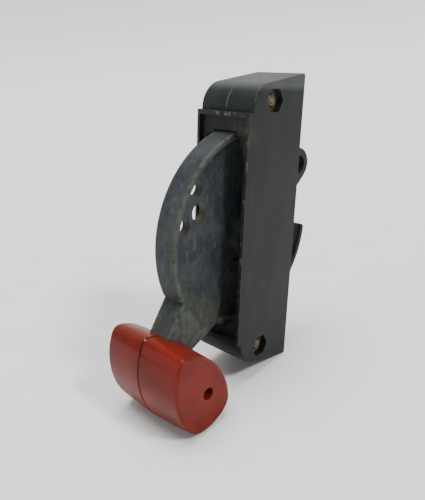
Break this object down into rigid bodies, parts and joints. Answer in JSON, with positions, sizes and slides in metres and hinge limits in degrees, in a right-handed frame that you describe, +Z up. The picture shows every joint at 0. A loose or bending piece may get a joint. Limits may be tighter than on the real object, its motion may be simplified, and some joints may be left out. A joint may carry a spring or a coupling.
{
  "type": "switch operating handle",
  "caption": "Flange-mounted operating handle: slotted rectangular housing, cast swinging lever with a curved sector and padlock holes, and a red cross grip.",
  "frame": {"origin": "centre of the bezel on the housing's front face plane, where the enclosure flange bears, on the seam between the halves", "axes": "+Z up, -Y out of the enclosure towards the operator, X across the housing along the pivot"},
  "size_m": [0.054, 0.1289, 0.1798],
  "materials": {
    "housing": "charcoal moulded plastic, satin",
    "lever": "cast, dull grey, dusty and rubbed",
    "grip": "glossy brick red",
    "yellow_steel": "yellow passivated steel",
    "steel": "plain steel",
    "bronze": "oiled bronze",
    "nylon": "black nylon"
  },
  "bodies": {
    "housing": {"housing_left": "housing", "housing_right": "housing", "clamp_bolts": "yellow_steel", "clamp_nuts": "yellow_steel", "clamp_lock_washers": "yellow_steel", "alignment_dowels": "steel", "bushing_left": "bronze", "bushing_right": "bronze", "thrust_washer_left": "nylon", "thrust_washer_right": "nylon", "wave_washer": "steel", "stop_pin": "steel", "stop_sleeve": "nylon"},
    "lever": {"operating_lever": "lever", "pivot_shaft": "steel", "lever_roll_pin": "steel", "grip_left": "grip", "grip_right": "grip", "grip_screw": "yellow_steel", "grip_nut": "yellow_steel", "grip_lock_washer": "yellow_steel"}
  },
  "joints": [
    {"name": "lever_swing", "type": "hinge", "parent": "housing", "child": "lever", "pos_m": [0, 0.0178, -0.0042], "axis": [-1, 0, 0], "range_deg": [0, 92]}
  ]
}
